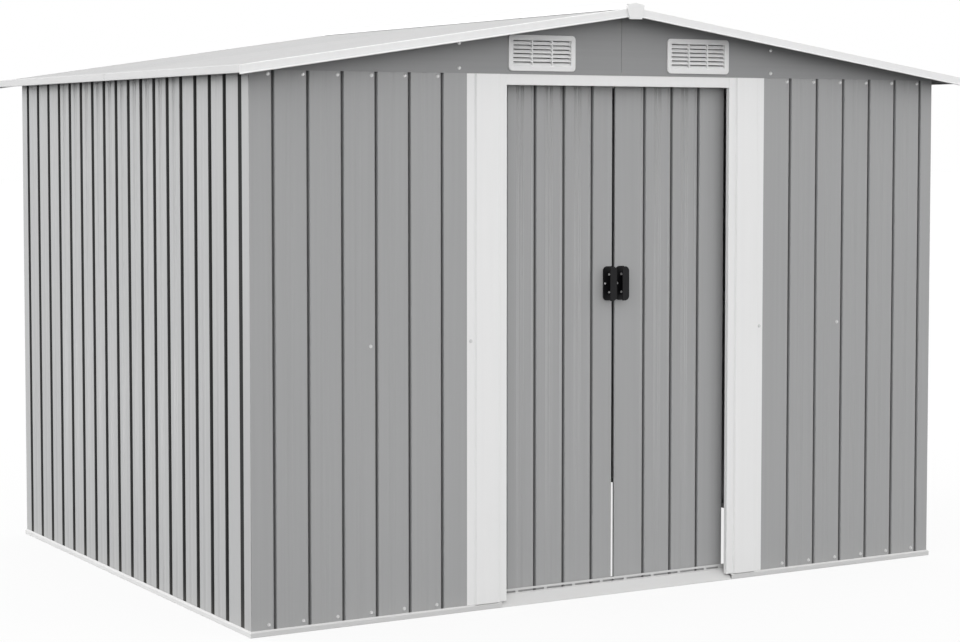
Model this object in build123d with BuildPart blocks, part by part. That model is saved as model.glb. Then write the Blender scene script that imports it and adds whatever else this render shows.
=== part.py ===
from build123d import *
import math
import os

os.makedirs("parts", exist_ok=True)

# A metal storage shed. X runs along the front, the front faces -Y, and the ground is at Z = 0.

# Overall form
wall_half_width = 1227.0    # outer face of the side walls
wall_half_depth = 947.0     # outer face of the front and back walls
wall_top = 1581.7           # top of the wall sheets, above the ground
eave_overhang = 58.0        # outer face of the eave trims, beyond the side walls
verge_overhang = 72.0       # outer face of the verge trims, beyond the front and back walls
roof_pitch = 8.42           # slope of the roof in degrees

# Sheet metal and its joints
sheet = 1.0                 # wall, roof and trim sheets
frame_sheet = 1.5           # rails, beams and braces
seat = 0.3                  # gap left where one piece rests on another

# Pressed grooves of the wall sheets
rib_depth = 12.0
rib_floor = 5.0             # flat floor of a groove
rib_side = 2.0              # run of each steep side
rib_lead = 9.0              # run of the shallow slope before a groove
rib_lead_depth = 2.5
bead_depth = 1.6            # shallow bead between two grooves
bead_floor = 10.0
bead_side = 6.0
bead_from_rib = 48.0

# Groove spacing
front_pitch = 107.0
side_pitch = 104.35
front_left_margin = 74.0    # left front corner to the first groove
front_right_margin = 49.0   # last groove to the right front corner
side_margin = 63.0          # start of a side wall to its first groove
back_margin = 60.0          # least distance from a back corner to a groove
corner_ribs = 4             # a corner sheet laps its neighbour in this groove

# Base rails
rail_proud = 5.0            # outer lip, beyond the walls
rail_width = 26.0
rail_height = 18.0
rail_shoulder = 14.0        # height where the outer lip turns in to the wall

# Doorway and its frame
opening_half_width = 402.0
header_height = 40.7        # from the doorway's top to the walls' top
gable_lap = 8.7             # how far the gables reach down over the walls
jamb_width = 135.0
jamb_flange = 25.0
jamb_raise = 6.0
jamb_step = 4.0
header_flange = 12.0
jamb_cover = 18.0           # how far a jamb's inner flange covers the wall's end

# Threshold
ramp_top = 30.0
ramp_run = 32.0
ramp_edge = 2.0             # upright edge at the ramp's toe
guide_lip = 14.0            # front lip of the door guide, above the shelf
guide_floor = 20.0
guide_back_lip = 40.0       # top of the guide's rear lip
slot_low = 1.5              # drain slots, above the shelf
slot_height = 6.0
first_bridge = 44.0         # middle of the first bridge between slots, from the middle of the doorway
bridge_pitch = 100.5
bridge_width = 10.0
slot_margin = 6.0           # side of the doorway to the last slot

# Doors
door_gap = 11.0             # slit between the two closed doors
door_overlap = 10.0         # how far a leaf reaches behind its jamb
door_flange = 15.0          # depth of a leaf's outer edge
door_meeting_flange = 8.0   # depth of the edge at the slit
door_lift = 6.0             # lower edge above the guide's floor
door_below_track = 8.0      # upper edge below the track's top
door_pitch = 101.0
door_first_rib = {"left": 77.0, "right": 114.0}     # from the line where the doors meet
door_rib_margin = 30.0      # least distance from a groove to the outer edge of its leaf
door_brace_low = 60.0
door_brace_middle = 760.0
door_brace_top = 82.0       # foot of the upper brace, below the leaf's upper edge
door_brace_height = 40.0
door_brace_depth = 17.0
door_brace_inset = 25.0     # braces stop short of the slit
running_gap = 5.0           # between what moves and what does not

# Door track and hangers
track_reach = 448.0         # beyond each side of the doorway
track_drop = 1.7            # below the walls' top
track_height = 35.0
track_depth = 20.0
track_lip = 8.0
wheel_radius = 15.0
wheel_width = 8.0
axle_radius = 3.0
hanger_width = 50.0
hanger_thickness = 2.0
hanger_inset = 60.0         # from each end of a leaf

# Door handles, two of the same pull, each open on its left side
handle_height = 945.0       # centre above the ground
handle_length = 104.0
handle_wall = 3.0
handle_flange = 32.0
handle_lip = 24.0
handle_proud = 31.0
handle_corner = 14.0
handle_from_line = {"left": -6.5, "right": 38.0}    # closed side, from the line where the doors meet

# Roof
roof_rib_depth = 8.0
roof_pitch_of_ribs = 104.0
roof_first_rib = 52.0       # from the joint in the middle of the roof
ridge_gap = 8.0             # sheets and verge trims stop short of the ridge line
verge_flange = 30.0
verge_drop = 23.0
verge_hem = 8.0
eave_flange = 30.0
eave_drop = 20.5            # lower edge, below the edge of the roof
eave_hem = 12.0
eave_joint = 2.0            # gap between the two lengths of a trim
ridge_cap_half_width = 31.0
ridge_cap_lip = 14.0
end_cap_depth = 5.7
end_cap_wall = 1.5
end_cap_shoulder_drop = 7.0
end_cap_drop = 49.0
end_cap_foot = 22.0

# Gables and vents
gable_flange = 15.0
vent_width = 231.0
vent_height = 106.0
vent_inset = 4.5            # outer edge of a vent, in from the side of the doorway
vent_above_seam = 9.0       # above the gable's lower edge
vent_thickness = 4.0
vent_corner = 12.0
vent_rim = 16.0
vent_bar = 8.0
vent_columns = 3
vent_rows = 6
vent_slot_height = 8.0
vent_row_pitch = 13.5
vent_hole_margin = 12.0

# Inner frame
brace_height = 40.0
brace_depth = 20.0
brace_level = 775.0
brace_end_gap = 4.0
top_rail_height = 40.7
top_rail_flange = 25.0
beam_width = 30.0
beam_height = 40.0

# Places worked out from the sizes above
slope = math.tan(math.radians(roof_pitch))
slope_cos = math.cos(math.radians(roof_pitch))
slope_sin = math.sin(math.radians(roof_pitch))
roof_half_width = wall_half_width + eave_overhang
verge_half_depth = wall_half_depth + verge_overhang
roof_ridge = wall_top + seat + (roof_rib_depth + sheet) / slope_cos + wall_half_width * slope
front_face = -wall_half_depth
wall_inner = rib_depth + sheet
gable_bottom = wall_top - gable_lap
track_front = front_face + wall_inner
track_top = wall_top - track_drop
track_bottom = track_top - track_height
door_face = track_front + track_depth + running_gap + hanger_thickness
door_back = door_face + wall_inner
door_bottom = guide_floor + sheet + door_lift
door_top = track_top - door_below_track
leaf_inner_edge = door_gap / 2
leaf_outer_edge = opening_half_width + door_overlap
jamb_outer = opening_half_width + jamb_width


def roof_top(x):
    """Height of the top of the roof sheets at a distance from the ridge."""
    return roof_ridge - abs(x) * slope


# Drawing folded sheet
def left_of(start, end):
    """Unit vector to the left of a straight run."""
    run = (end[0] - start[0], end[1] - start[1])
    length = math.hypot(*run)
    return (-run[1] / length, run[0] / length)


def moved_left(path, distance):
    """An open path moved to its left, with mitred corners."""
    sides = [left_of(start, end) for start, end in zip(path, path[1:])]
    moved = []
    for point, before, after in zip(path, sides[:1] + sides, sides + sides[-1:]):
        reach = distance / (1 + before[0] * after[0] + before[1] * after[1])
        moved.append((point[0] + reach * (before[0] + after[0]), point[1] + reach * (before[1] + after[1])))
    return moved


def folded(path, thickness):
    """Closed outline of a sheet whose face follows a path and whose body lies to its left."""
    return path + moved_left(path, thickness)[::-1]


def mirrored(path):
    """The path's mirror image in the vertical axis, run the other way."""
    return [(-x, y) for x, y in reversed(path)]


def folded_strip(plane, path, thickness, length):
    """A strip of sheet folded along a path, running along the plane's normal."""
    with BuildPart() as strip:
        with BuildSketch(plane):
            with BuildLine():
                Polyline(*folded(path, thickness), close=True)
            make_face()
        extrude(amount=length)
    return strip


def save(piece, node):
    """Write one finished piece."""
    piece.part.label = node
    export_step(piece.part, f"parts/{node}.step")


# Grooved sheet, as depth below the flats along a wall
def groove(at, depth):
    """Corner points of one pressed groove."""
    mouth = rib_floor / 2 + rib_side
    return [
        (at - mouth - rib_lead, 0.0),
        (at - mouth, rib_lead_depth * depth / rib_depth),
        (at - rib_floor / 2, depth),
        (at + rib_floor / 2, depth),
        (at + mouth, 0.0),
    ]


def bead(at):
    """Corner points of one shallow bead."""
    edge = bead_floor / 2 + bead_side
    return [(at - edge, 0.0), (at - bead_floor / 2, bead_depth), (at + bead_floor / 2, bead_depth), (at + edge, 0.0)]


def depth_at(line, place):
    """Depth of a grooved line at one place."""
    for (u0, d0), (u1, d1) in zip(line, line[1:]):
        if u0 <= place <= u1:
            return d0 + (d1 - d0) * (place - u0) / (u1 - u0)
    return 0.0


def grooved_line(ribs, start, end, depth=rib_depth):
    """Grooves and the beads between them, cut off at a start and an end."""
    line = [(min(start, ribs[0]) - front_pitch, 0.0)]
    for number, rib in enumerate(ribs):
        line += groove(rib, depth)
        if number + 1 < len(ribs) and ribs[number + 1] - rib < 2 * front_pitch:
            line += bead(rib + bead_from_rib)
    line.append((max(end, ribs[-1]) + front_pitch, 0.0))
    inside = [point for point in line if start < point[0] < end]
    return [(start, depth_at(line, start))] + inside + [(end, depth_at(line, end))]


# The four walls run anticlockwise seen from above, each from its own corner
walls = {
    "left": ((-wall_half_width, wall_half_depth), (0, -1), (1, 0), 2 * wall_half_depth),
    "front": ((-wall_half_width, -wall_half_depth), (1, 0), (0, 1), 2 * wall_half_width),
    "right": ((wall_half_width, -wall_half_depth), (0, 1), (-1, 0), 2 * wall_half_depth),
    "back": ((wall_half_width, wall_half_depth), (-1, 0), (0, -1), 2 * wall_half_width),
}


def evenly(first, last, pitch):
    """Groove places from a first one, as many as fit up to a last one."""
    return [first + pitch * number for number in range(int((last - first) / pitch) + 1)]


beside_door = wall_half_width - jamb_outer
side_ribs = evenly(side_margin, 2 * wall_half_depth - side_margin, side_pitch)
front_left_ribs = evenly(front_left_margin, beside_door, front_pitch)
front_right_ribs = evenly(front_right_margin, beside_door, front_pitch)
back_half_ribs = evenly(0, wall_half_width - back_margin, side_pitch)
ribs_of = {
    "left": side_ribs,
    "front": front_left_ribs + [2 * wall_half_width - place for place in reversed(front_right_ribs)],
    "right": side_ribs,
    "back": [wall_half_width - place for place in reversed(back_half_ribs[1:])]
    + [wall_half_width + place for place in back_half_ribs],
}


def wall_path(wall, start, end):
    """Plan of one wall's grooved face between two distances from its corner."""
    origin, along, inward, length = walls[wall]
    return [
        (origin[0] + u * along[0] + d * inward[0], origin[1] + u * along[1] + d * inward[1])
        for u, d in grooved_line(ribs_of[wall], start, end)
    ]


def wall_sheet(node, path):
    """One upright wall sheet on the base rail."""
    save(folded_strip(Plane.XY.offset(sheet), path, sheet, wall_top - sheet), node)


# Wall sheets that turn the corners
corners = {
    "front_left": ("left", "front"),
    "front_right": ("front", "right"),
    "back_right": ("right", "back"),
    "back_left": ("back", "left"),
}
for corner, (arriving, leaving) in corners.items():
    arriving_leg = wall_path(arriving, ribs_of[arriving][-corner_ribs], walls[arriving][3])
    leaving_leg = wall_path(leaving, 0, ribs_of[leaving][corner_ribs - 1])
    wall_sheet(f"corner_panel_{corner}", arriving_leg + leaving_leg[1:])

# Wall sheets between the corners
front_wall_end = wall_half_width - opening_half_width - jamb_cover
middle_rib = wall_half_width
straight_sheets = {
    "front_wall_left": ("front", ribs_of["front"][corner_ribs - 1], front_wall_end),
    "front_wall_right": ("front", 2 * wall_half_width - front_wall_end, ribs_of["front"][-corner_ribs]),
    "left_wall": ("left", ribs_of["left"][corner_ribs - 1], ribs_of["left"][-corner_ribs]),
    "right_wall": ("right", ribs_of["right"][corner_ribs - 1], ribs_of["right"][-corner_ribs]),
    "back_wall_right": ("back", ribs_of["back"][corner_ribs - 1], middle_rib),
    "back_wall_left": ("back", middle_rib, ribs_of["back"][-corner_ribs]),
}
for node, (wall, start, end) in straight_sheets.items():
    wall_sheet(node, wall_path(wall, start, end))

# Base rails: a channel that the walls stand in, mitred at the corners
rail_half_width = wall_half_width + rail_proud
rail_half_depth = wall_half_depth + rail_proud


def rail_section(outer):
    """Channel section with its outer face at a distance from the middle of the shed."""
    return [
        (outer - rail_proud + sheet, rail_height),
        (outer, rail_shoulder),
        (outer, 0.0),
        (outer - rail_width, 0.0),
        (outer - rail_width, rail_height),
    ]


def base_rail(node, plane, outer, length, cuts):
    """One length of base rail, cut by the planes that end it."""
    with BuildPart() as rail:
        with BuildSketch(plane):
            with BuildLine():
                Polyline(*folded(rail_section(outer), -sheet), close=True)
            make_face()
        extrude(amount=length)
        for cut in cuts:
            split(bisect_by=cut, keep=Keep.TOP)
    save(rail, node)


def corner_cut(side, end):
    """Mitre plane through a corner, facing the side rails."""
    return Plane((side * rail_half_width, end * rail_half_depth, 0), x_dir=(0, 0, 1), z_dir=(side, -end, 0))


def facing_back(cut):
    """The same plane with its other face up."""
    return Plane(cut.origin, x_dir=cut.x_dir, z_dir=cut.z_dir * -1)


for side, name in ((-1, "left"), (1, "right")):
    side_plane = Plane((0, rail_half_depth, 0), x_dir=(side, 0, 0), z_dir=(0, -1, 0))
    if side < 0:
        side_plane = Plane((0, -rail_half_depth, 0), x_dir=(side, 0, 0), z_dir=(0, 1, 0))
    base_rail(
        f"base_rail_{name}", side_plane, rail_half_width, 2 * rail_half_depth,
        [corner_cut(side, -1), corner_cut(side, 1)],
    )
    doorway_end = opening_half_width + jamb_cover + seat
    front_start = rail_half_width if side > 0 else -doorway_end
    base_rail(
        f"base_rail_front_{name}", Plane((front_start, 0, 0), x_dir=(0, -1, 0), z_dir=(-1, 0, 0)),
        rail_half_depth, rail_half_width - doorway_end,
        [facing_back(corner_cut(side, -1))],
    )
base_rail(
    "base_rail_back", Plane((-rail_half_width, 0, 0), x_dir=(0, 1, 0), z_dir=(1, 0, 0)),
    rail_half_depth, 2 * rail_half_width,
    [facing_back(corner_cut(-1, 1)), facing_back(corner_cut(1, 1))],
)

# Door jambs: a raised band down each side of the doorway, returned into it
jamb_face = front_face - sheet
jamb_path = [
    (opening_half_width, front_face + wall_inner),
    (opening_half_width, jamb_face),
    (opening_half_width + jamb_flange, jamb_face),
    (opening_half_width + jamb_flange + jamb_step, jamb_face - jamb_raise),
    (jamb_outer - jamb_flange - jamb_step, jamb_face - jamb_raise),
    (jamb_outer - jamb_flange, jamb_face),
    (jamb_outer, jamb_face),
]
jamb_foot = rail_height + seat
for name, path in (("right", jamb_path), ("left", mirrored(jamb_path))):
    jamb_height = gable_bottom - seat - jamb_foot
    save(folded_strip(Plane.XY.offset(jamb_foot), path, sheet, jamb_height), f"door_jamb_{name}")

# Header over the doorway
opening_top = wall_top - header_height
header_path = [
    (front_face + header_flange, opening_top),
    (front_face, opening_top),
    (front_face, wall_top),
]
header_half_length = opening_half_width - seat
header_plane = Plane.YZ.offset(-header_half_length)
save(folded_strip(header_plane, header_path, -sheet, 2 * header_half_length), "door_header")

# Track that the doors hang from, behind the front wall
track_path = [
    (track_front, track_top),
    (track_front, track_bottom),
    (track_front + track_depth, track_bottom),
    (track_front + track_depth, track_bottom + track_lip),
]
track_half_length = opening_half_width + track_reach
track_plane = Plane.YZ.offset(-track_half_length)
save(folded_strip(track_plane, track_path, frame_sheet, 2 * track_half_length), "door_track")

# Threshold: a ramp, and behind it the guide that the doors' lower edges run in
threshold_half_length = opening_half_width + jamb_cover
ramp_toe = front_face - rail_proud
shelf_back = door_face - running_gap - sheet
guide_back = door_back + running_gap + sheet
ramp_path = [
    (ramp_toe, 0.0),
    (ramp_toe, ramp_edge),
    (ramp_toe + ramp_run, ramp_top),
    (shelf_back, ramp_top),
]
guide_path = [
    (shelf_back, ramp_top + guide_lip),
    (shelf_back, guide_floor),
    (guide_back, guide_floor),
    (guide_back, guide_back_lip),
]
slot_end = opening_half_width - slot_margin
bridges = evenly(first_bridge, slot_end, bridge_pitch)
bridge_centres = [-place for place in reversed(bridges)] + bridges
slot_starts = [-slot_end] + [centre + bridge_width / 2 for centre in bridge_centres]
slot_finishes = [centre - bridge_width / 2 for centre in bridge_centres] + [slot_end]
with BuildPart() as threshold:
    for path, thickness in ((ramp_path, -sheet), (guide_path, sheet)):
        with BuildSketch(Plane.YZ.offset(-threshold_half_length)):
            with BuildLine():
                Polyline(*folded(path, thickness), close=True)
            make_face()
        extrude(amount=2 * threshold_half_length)
    with Locations((0, guide_back - sheet / 2, guide_floor / 2)):
        Box(2 * threshold_half_length, sheet, guide_floor)
    for start, finish in zip(slot_starts, slot_finishes):
        with Locations(((start + finish) / 2, shelf_back, ramp_top + slot_low + slot_height / 2)):
            Box(finish - start, 4 * sheet, slot_height, mode=Mode.SUBTRACT)
save(threshold, "door_threshold")


# Doors
def door_leaf(name, low, high):
    """A grooved leaf with flanged edges and three inner braces."""
    ribs = evenly(door_first_rib[name], leaf_outer_edge - door_rib_margin, door_pitch)
    low_flange, high_flange = door_meeting_flange, door_flange
    brace_low, brace_high = low + door_brace_inset, high - sheet
    if name == "left":
        ribs = [-place for place in reversed(ribs)]
        low_flange, high_flange = door_flange, door_meeting_flange
        brace_low, brace_high = low + sheet, high - door_brace_inset
    face = [(x, door_face + depth) for x, depth in grooved_line(ribs, low, high)]
    path = [(low, door_face + low_flange)] + face + [(high, door_face + high_flange)]
    with BuildPart() as leaf:
        with BuildSketch(Plane.XY.offset(door_bottom)):
            with BuildLine():
                Polyline(*folded(path, sheet), close=True)
            make_face()
        extrude(amount=door_top - door_bottom)
        for level in (door_brace_low, door_brace_middle, door_top - door_brace_top):
            brace_path = [
                (door_back + door_brace_depth, level),
                (door_back, level),
                (door_back, level + door_brace_height),
                (door_back + door_brace_depth, level + door_brace_height),
            ]
            with BuildSketch(Plane.YZ.offset(brace_low)):
                with BuildLine():
                    Polyline(*folded(brace_path, -sheet), close=True)
                make_face()
            extrude(amount=brace_high - brace_low)
    save(leaf, f"door_leaf_{name}")


door_leaf("left", -leaf_outer_edge, -leaf_inner_edge)
door_leaf("right", leaf_inner_edge, leaf_outer_edge)

# Hangers: a plate on the leaf, an axle and a wheel that runs in the track
wheel_floor = track_bottom + frame_sheet + seat
axle_height = wheel_floor + wheel_radius
wheel_middle = track_front + track_depth / 2
plate_face = door_face - hanger_thickness
for side, name in ((-1, "left"), (1, "right")):
    hanger_places = (leaf_inner_edge + hanger_inset, leaf_outer_edge - hanger_inset)
    with BuildPart() as hangers:
        for place in hanger_places:
            x = side * place
            with Locations((x, door_face - hanger_thickness / 2, (track_bottom + door_top) / 2)):
                Box(hanger_width, hanger_thickness, door_top - track_bottom)
            with BuildSketch(Plane((x, plate_face, axle_height), x_dir=(1, 0, 0), z_dir=(0, -1, 0))):
                Circle(axle_radius)
            extrude(amount=plate_face - wheel_middle)
            wheel_back = wheel_middle + wheel_width / 2
            with BuildSketch(Plane((x, wheel_back, axle_height), x_dir=(1, 0, 0), z_dir=(0, -1, 0))):
                Circle(wheel_radius)
            extrude(amount=wheel_width)
    save(hangers, f"door_hangers_{name}")

# Handles: a base plate on the leaf, a wall along its right side, and a lip that comes back over the base
for name, closed_side in handle_from_line.items():
    with BuildPart() as handle:
        for reach, low, high, rounded in (
            (handle_flange, 0.0, handle_wall, slice(0, 2)),
            (handle_lip, handle_proud - handle_wall, handle_proud, slice(2, 4)),
        ):
            with BuildSketch(Plane((0, door_face - low, handle_height), x_dir=(1, 0, 0), z_dir=(0, -1, 0))):
                with Locations((closed_side - reach / 2, 0)):
                    plate = Rectangle(reach, handle_length)
                fillet(plate.vertices().sort_by(Axis.X)[rounded], handle_corner)
            extrude(amount=high - low)
        wall_length = handle_length - 2 * handle_corner
        with Locations((closed_side - handle_wall / 2, door_face - handle_proud / 2, handle_height)):
            Box(handle_wall, handle_proud, wall_length)
    save(handle, f"door_handle_{name}")


# Roof sheets: two to each slope, grooved from the ridge to the eave
def slope_plane(side, start):
    """Plane across a slope, at a level distance from the ridge, that faces down the slope."""
    return Plane(
        (side * start, 0, roof_top(start)),
        x_dir=(0, side, 0),
        z_dir=(side * slope_cos, 0, -slope_sin),
    )


roof_sheet_end = verge_half_depth - sheet - seat
roof_ribs = evenly(roof_first_rib, roof_sheet_end, roof_pitch_of_ribs)
roof_line = [(u, -d) for u, d in grooved_line(roof_ribs, 0, roof_sheet_end, roof_rib_depth)]
roof_sheet_run = (roof_half_width - sheet - seat - ridge_gap) / slope_cos
for side, side_name in ((-1, "left"), (1, "right")):
    for end, end_name in ((-1, "front"), (1, "back")):
        path = roof_line if side * end > 0 else mirrored(roof_line)
        roof_sheet = folded_strip(slope_plane(side, ridge_gap), path, -sheet, roof_sheet_run)
        save(roof_sheet, f"roof_sheet_{side_name}_{end_name}")

# Verge trims along the sloping edges of the roof
verge_path = [
    (verge_half_depth - verge_flange, sheet),
    (verge_half_depth, sheet),
    (verge_half_depth, -verge_drop),
    (verge_half_depth - verge_hem, -verge_drop),
]
for end, end_name in ((-1, "front"), (1, "back")):
    with BuildPart() as verge:
        for side in (-1, 1):
            path = verge_path if side * end > 0 else mirrored(verge_path)
            with BuildSketch(slope_plane(side, ridge_gap)):
                with BuildLine():
                    Polyline(*folded(path, -sheet), close=True)
                make_face()
            extrude(amount=(roof_half_width + verge_flange - ridge_gap) / slope_cos)
        eave_room = 2 * (eave_flange + seat)
        for side in (-1, 1):
            with Locations((side * 1.5 * roof_half_width, 0, roof_ridge)):
                Box(roof_half_width, 4 * verge_half_depth, 2 * roof_ridge, mode=Mode.SUBTRACT)
            with Locations((side * roof_half_width, 0, roof_ridge)):
                Box(eave_room, 2 * (verge_half_depth - sheet), 2 * roof_ridge, mode=Mode.SUBTRACT)
    save(verge, f"{end_name}_verge_trims")

# Eave trims, in two lengths on each side
eave_bottom = roof_top(roof_half_width) - eave_drop
eave_path = [
    (roof_half_width - eave_flange, roof_top(roof_half_width - eave_flange) + sheet / slope_cos),
    (roof_half_width, roof_top(roof_half_width) + sheet / slope_cos),
    (roof_half_width, eave_bottom),
    (roof_half_width - eave_hem, eave_bottom),
]
eave_length = verge_half_depth - sheet - seat
for name, path in (("right", eave_path), ("left", mirrored(eave_path))):
    with BuildPart() as eave:
        for start in (eave_length, -eave_joint / 2):
            with BuildSketch(Plane.XZ.offset(-start)):
                with BuildLine():
                    Polyline(*folded(path, -sheet), close=True)
                make_face()
            extrude(amount=eave_length - eave_joint / 2)
    save(eave, f"eave_trim_{name}")

# Ridge cap, on the verge trims, and the caps that close its ends
cap_shoulder = roof_top(ridge_cap_half_width) + sheet / slope_cos + seat + ridge_cap_lip
cap_top = cap_shoulder + ridge_cap_half_width * slope
cap_path = [
    (ridge_cap_half_width, cap_shoulder - ridge_cap_lip),
    (ridge_cap_half_width, cap_shoulder),
    (0.0, cap_top),
    (-ridge_cap_half_width, cap_shoulder),
    (-ridge_cap_half_width, cap_shoulder - ridge_cap_lip),
]
save(folded_strip(Plane.XZ.offset(-verge_half_depth), cap_path, sheet, 2 * verge_half_depth), "ridge_cap")

end_cap_outline = [
    (0.0, cap_top),
    (-ridge_cap_half_width, cap_top - end_cap_shoulder_drop),
    (-end_cap_foot, cap_top - end_cap_drop),
    (end_cap_foot, cap_top - end_cap_drop),
    (ridge_cap_half_width, cap_top - end_cap_shoulder_drop),
]
with BuildPart() as end_caps:
    for end in (-1, 1):
        back = end * (verge_half_depth + seat)
        with BuildSketch(Plane((0, back, 0), x_dir=(-end, 0, 0), z_dir=(0, end, 0))):
            with BuildLine():
                Polyline(*end_cap_outline, close=True)
            make_face()
        extrude(amount=end_cap_depth)
        with BuildSketch(Plane((0, back, 0), x_dir=(-end, 0, 0), z_dir=(0, end, 0))):
            with BuildLine():
                Polyline(*end_cap_outline, close=True)
            make_face()
            offset(amount=-end_cap_wall, kind=Kind.INTERSECTION, mode=Mode.REPLACE)
        extrude(amount=end_cap_depth - end_cap_wall, mode=Mode.SUBTRACT)
save(end_caps, "ridge_end_caps")

# Gables, in two halves with flanges bolted together on the centre line
vent_middle = gable_bottom + vent_above_seam + vent_height / 2
vent_offset = opening_half_width - vent_inset - vent_width / 2


def under_roof(x):
    """Height that a piece under the flats of the roof sheets may reach."""
    return roof_top(x) - sheet / slope_cos - seat


flange_foot = wall_top + seat
for end, end_name in ((-1, "front"), (1, "back")):
    gable_inner = end * wall_half_depth
    for side, side_name in ((-1, "left"), (1, "right")):
        outline = [
            (side * seat, gable_bottom),
            (side * wall_half_width, gable_bottom),
            (side * wall_half_width, under_roof(wall_half_width)),
            (side * seat, under_roof(seat)),
        ]
        with BuildPart() as gable:
            with BuildSketch(Plane.XZ.offset(-gable_inner)):
                with BuildLine():
                    Polyline(*outline, close=True)
                make_face()
                with Locations((side * vent_offset, vent_middle)):
                    Rectangle(
                        vent_width - 2 * vent_hole_margin, vent_height - 2 * vent_hole_margin,
                        mode=Mode.SUBTRACT,
                    )
            extrude(amount=-end * sheet)
            flange_height = under_roof(seat + sheet) - flange_foot
            flange_middle = (gable_inner - end * gable_flange / 2, flange_foot + flange_height / 2)
            with Locations((side * (seat + sheet / 2), *flange_middle)):
                Box(sheet, gable_flange, flange_height)
        save(gable, f"{end_name}_gable_{side_name}")

# Louvred vents on the gables
slot_width = (vent_width - 2 * vent_rim - (vent_columns - 1) * vent_bar) / vent_columns
for end, end_name in ((-1, "front"), (1, "back")):
    vent_plane = Plane((0, end * (wall_half_depth + sheet), vent_middle), x_dir=(-end, 0, 0), z_dir=(0, end, 0))
    with BuildPart() as vents:
        with BuildSketch(vent_plane):
            with Locations((-vent_offset, 0), (vent_offset, 0)):
                RectangleRounded(vent_width, vent_height, vent_corner)
                with GridLocations(slot_width + vent_bar, vent_row_pitch, vent_columns, vent_rows):
                    Rectangle(slot_width, vent_slot_height, mode=Mode.SUBTRACT)
        extrude(amount=vent_thickness)
    save(vents, f"{end_name}_vents")

# Top rails inside the side and back walls
inner_half_width = wall_half_width - wall_inner
inner_half_depth = wall_half_depth - wall_inner
rail_top = wall_top - sheet
top_rail_bottom = rail_top - top_rail_height
side_rail_path = [
    (-inner_half_width, rail_top),
    (-inner_half_width, top_rail_bottom),
    (-inner_half_width + top_rail_flange, top_rail_bottom),
]
back_rail_path = [
    (inner_half_depth - top_rail_flange, top_rail_bottom),
    (inner_half_depth, top_rail_bottom),
    (inner_half_depth, rail_top),
]
side_rail_length = 2 * inner_half_depth - 2 * brace_end_gap
back_rail_half = inner_half_width - top_rail_flange - brace_end_gap
with BuildPart() as top_rails:
    for path in (side_rail_path, mirrored(side_rail_path)):
        with BuildSketch(Plane.XZ.offset(-side_rail_length / 2)):
            with BuildLine():
                Polyline(*folded(path, frame_sheet), close=True)
            make_face()
        extrude(amount=side_rail_length)
    with BuildSketch(Plane.YZ.offset(-back_rail_half)):
        with BuildLine():
            Polyline(*folded(back_rail_path, frame_sheet), close=True)
        make_face()
    extrude(amount=2 * back_rail_half)
save(top_rails, "top_rails")


# Braces at mid height inside the walls, channels that open inwards
def brace_section(wall_face, depth):
    """Channel against a wall, with its flanges pointing into the shed."""
    return [
        (wall_face + depth, brace_level),
        (wall_face, brace_level),
        (wall_face, brace_level + brace_height),
        (wall_face + depth, brace_level + brace_height),
    ]


side_brace = brace_section(-inner_half_width, brace_depth)
front_brace = brace_section(-inner_half_depth, brace_depth)
side_brace_half = inner_half_depth - brace_depth - brace_end_gap
front_brace_length = inner_half_width - brace_end_gap - opening_half_width - jamb_cover
with BuildPart() as wall_braces:
    for path in (side_brace, mirrored(side_brace)):
        with BuildSketch(Plane.XZ.offset(-side_brace_half)):
            with BuildLine():
                Polyline(*folded(path, -frame_sheet), close=True)
            make_face()
        extrude(amount=2 * side_brace_half)
    for start, length, path in (
        (-inner_half_width + brace_end_gap, front_brace_length, front_brace),
        (opening_half_width + jamb_cover, front_brace_length, front_brace),
        (-inner_half_width + brace_end_gap, 2 * (inner_half_width - brace_end_gap), mirrored(front_brace)),
    ):
        with BuildSketch(Plane.YZ.offset(start)):
            with BuildLine():
                Polyline(*folded(path, -frame_sheet), close=True)
            make_face()
        extrude(amount=length)
save(wall_braces, "wall_braces")

# Roof beams from gable to gable, under the grooves of the roof sheets
beam_offset = wall_half_width / 2
with BuildPart() as roof_beams:
    for place, half_length in (
        (-beam_offset, wall_half_depth - seat),
        (0.0, wall_half_depth - gable_flange - seat),
        (beam_offset, wall_half_depth - seat),
    ):
        outer_edge = abs(place) + beam_width / 2
        top = roof_top(outer_edge) - (roof_rib_depth + sheet) / slope_cos - seat
        beam_path = [
            (place + beam_width / 2, top - beam_height),
            (place - beam_width / 2, top - beam_height),
            (place - beam_width / 2, top),
            (place + beam_width / 2, top),
        ]
        with BuildSketch(Plane.XZ.offset(-half_length)):
            with BuildLine():
                Polyline(*folded(beam_path, -frame_sheet), close=True)
            make_face()
        extrude(amount=2 * half_length)
save(roof_beams, "roof_beams")
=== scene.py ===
"""Finishes and small parts of a metal storage shed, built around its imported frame."""

import math

import bmesh
import bpy
from bpy.props import FloatProperty, FloatVectorProperty, IntProperty, PointerProperty
from bpy.types import Operator, Panel, PropertyGroup
from mathutils import Matrix, Vector


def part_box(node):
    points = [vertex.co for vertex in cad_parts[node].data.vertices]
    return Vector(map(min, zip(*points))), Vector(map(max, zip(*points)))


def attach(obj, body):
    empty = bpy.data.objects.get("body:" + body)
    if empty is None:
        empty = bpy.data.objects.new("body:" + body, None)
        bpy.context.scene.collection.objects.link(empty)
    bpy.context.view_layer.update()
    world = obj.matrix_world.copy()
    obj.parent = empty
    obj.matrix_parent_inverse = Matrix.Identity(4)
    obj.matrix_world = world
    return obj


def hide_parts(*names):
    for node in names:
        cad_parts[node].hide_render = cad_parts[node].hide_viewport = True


bl_info = {
    "name": "Metal Storage Shed",
    "version": (1, 0, 0),
    "blender": (4, 5, 0),
    "location": "View3D > Sidebar > Shed",
    "description": "Builds the folded sheets, fixings, vents, handles and finishes of a metal storage shed",
    "category": "Object",
}

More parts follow.
